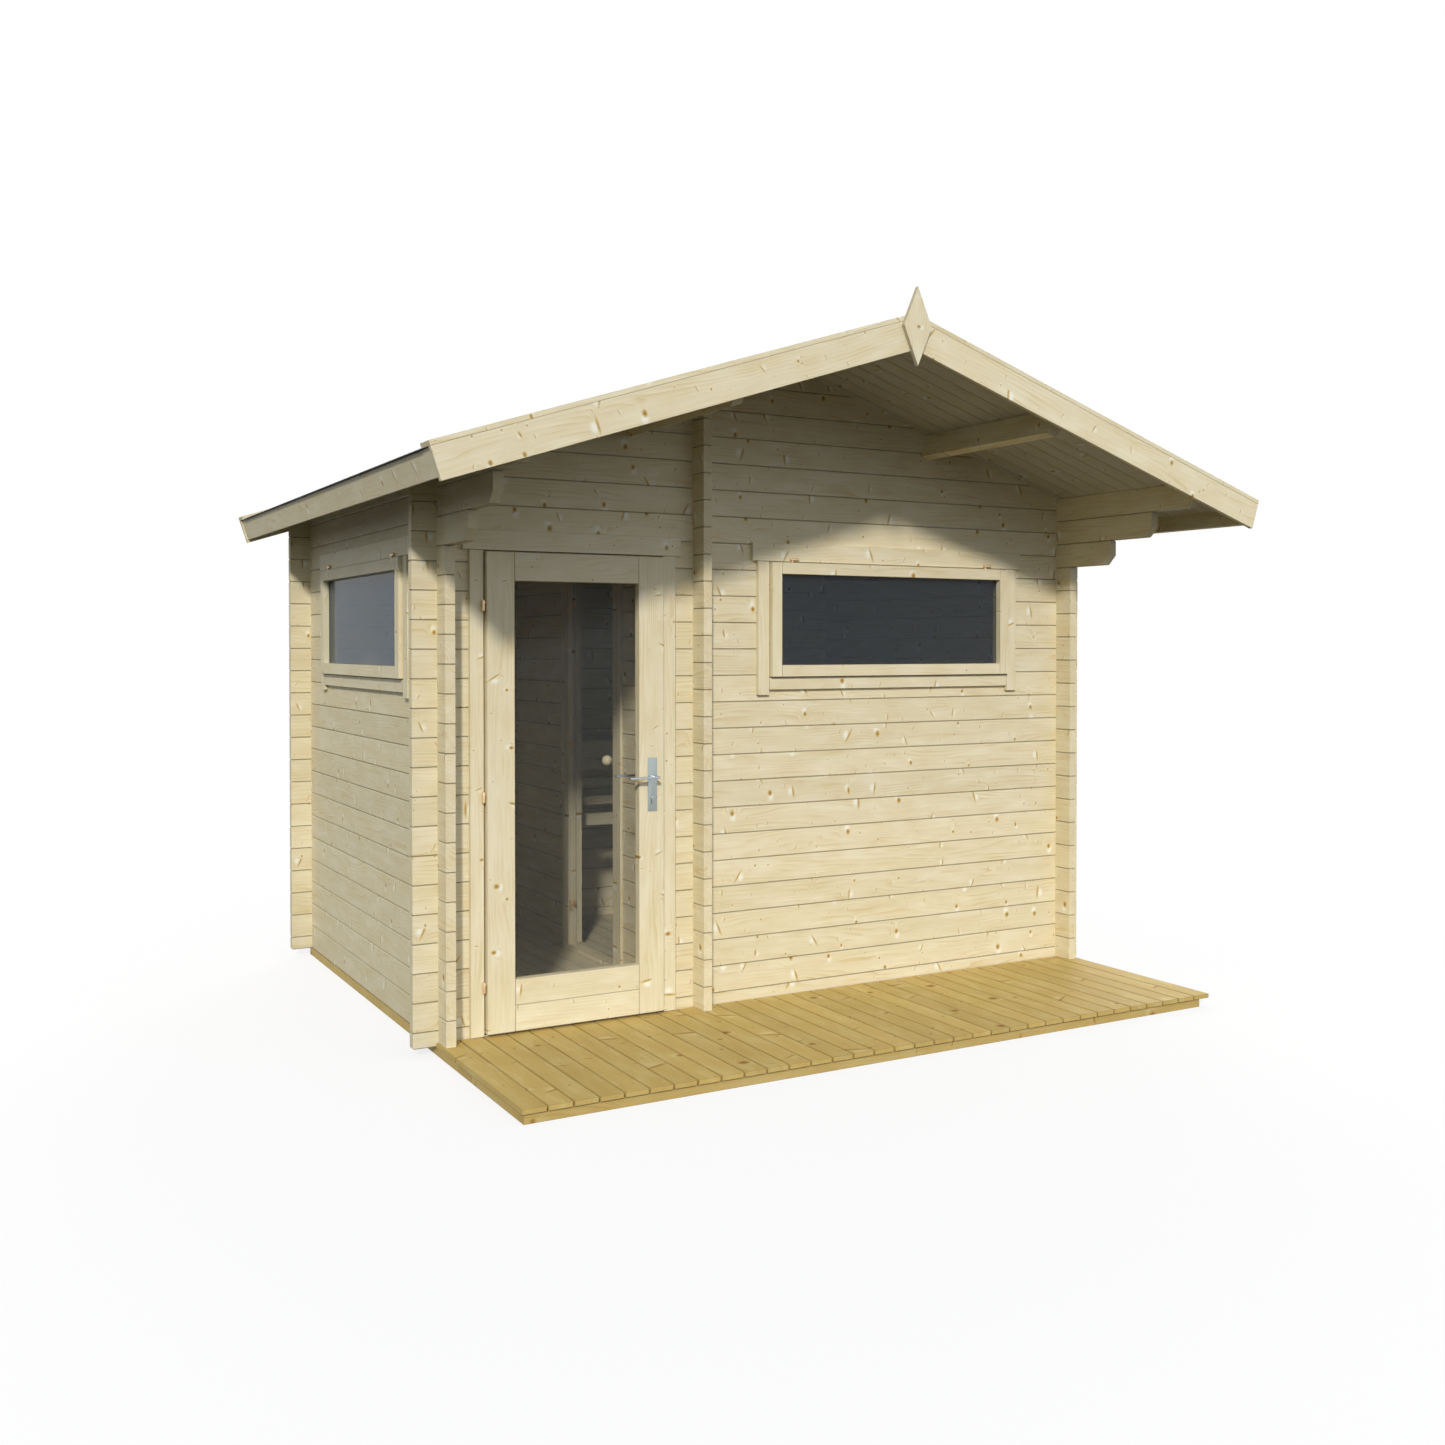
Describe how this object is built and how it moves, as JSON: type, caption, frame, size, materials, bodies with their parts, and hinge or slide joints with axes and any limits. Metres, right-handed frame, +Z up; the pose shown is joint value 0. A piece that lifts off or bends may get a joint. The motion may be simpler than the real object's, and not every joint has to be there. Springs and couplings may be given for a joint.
{
  "type": "log sauna cabin",
  "caption": "Log sauna cabin with changing room, sauna room with bench, glazed outer and inner doors, two windows, pitched roof with deep front overhang and terrace deck.",
  "frame": {"origin": "bottom centre of the cabin's bounding box, on the ground under the ridge line", "axes": "+X to the right along the front wall, +Y from the terrace to the back, +Z up"},
  "size_m": [3.8396, 3.211, 2.9769],
  "materials": {
    "raw_spruce": "planed, untreated",
    "joinery_spruce": "planed, untreated",
    "treated_pine": "pressure treated",
    "bench_aspen": "planed, untreated",
    "turned_wood": "turned and sanded",
    "roofing_felt": "matt, mineral surface",
    "glass": "clear, tinted by what lies behind",
    "copper": "bright plated",
    "steel": "brushed"
  },
  "bodies": {
    "cabin": {"back_gable": "raw_spruce", "back_wall": "raw_spruce", "bench_frame": "bench_aspen", "bench_front_boards": "bench_aspen", "bench_seat_boards": "bench_aspen", "door_frame": "joinery_spruce", "door_hinge_lower_knuckles": "copper", "eave_fascias": "raw_spruce", "finial": "raw_spruce", "floor_boards": "raw_spruce", "foundation_beams": "treated_pine", "front_barge_boards": "raw_spruce", "front_cover_strips": "raw_spruce", "front_gable": "raw_spruce", "front_wall_left": "raw_spruce", "front_wall_lower_logs": "raw_spruce", "front_wall_window_logs": "raw_spruce", "front_window_casing": "joinery_spruce", "front_window_frame": "joinery_spruce", "front_window_glass": "glass", "front_window_sash": "joinery_spruce", "inner_door_frame": "joinery_spruce", "inner_hinge_lower_knuckles": "copper", "left_eave_logs": "raw_spruce", "left_wall_lower_logs": "raw_spruce", "left_wall_window_logs": "raw_spruce", "partition_front": "raw_spruce", "partition_head": "raw_spruce", "partition_rear": "raw_spruce", "purlins": "raw_spruce", "rear_barge_boards": "raw_spruce", "rear_cover_strips": "raw_spruce", "right_eave_logs": "raw_spruce", "right_wall": "raw_spruce", "roof_boards_left": "raw_spruce", "roof_boards_right": "raw_spruce", "roof_felt_left": "roofing_felt", "roof_felt_right": "roofing_felt", "side_window_casing": "joinery_spruce", "side_window_frame": "joinery_spruce", "side_window_glass": "glass", "side_window_sash": "joinery_spruce", "terrace_deck": "treated_pine", "terrace_frame": "treated_pine", "window_hinges": "copper"},
    "door": {"door_leaf": "joinery_spruce", "door_glass": "glass", "door_hinge_upper_knuckles": "copper", "door_handle_plates": "steel"},
    "lever": {"door_lever": "steel"},
    "inner_door": {"inner_door_glass": "glass", "inner_hinge_upper_knuckles": "copper", "inner_door_knobs": "turned_wood"}
  },
  "joints": [
    {"name": "door_hinge", "type": "hinge", "parent": "cabin", "child": "door", "pos_m": [-1.419, -0.6845, 1], "axis": [0, 0, -1], "range_deg": [0, 120]},
    {"name": "lever_turn", "type": "hinge", "parent": "door", "child": "lever", "pos_m": [-0.688, -0.6735, 1.053], "axis": [0, -1, 0], "range_deg": [0, 40], "stiffness_Nm_per_rad": 1.5, "springref_deg": -34.38},
    {"name": "inner_door_hinge", "type": "hinge", "parent": "cabin", "child": "inner_door", "pos_m": [-0.483, 0.6615, 1], "axis": [0, 0, -1], "range_deg": [0, 100]}
  ]
}
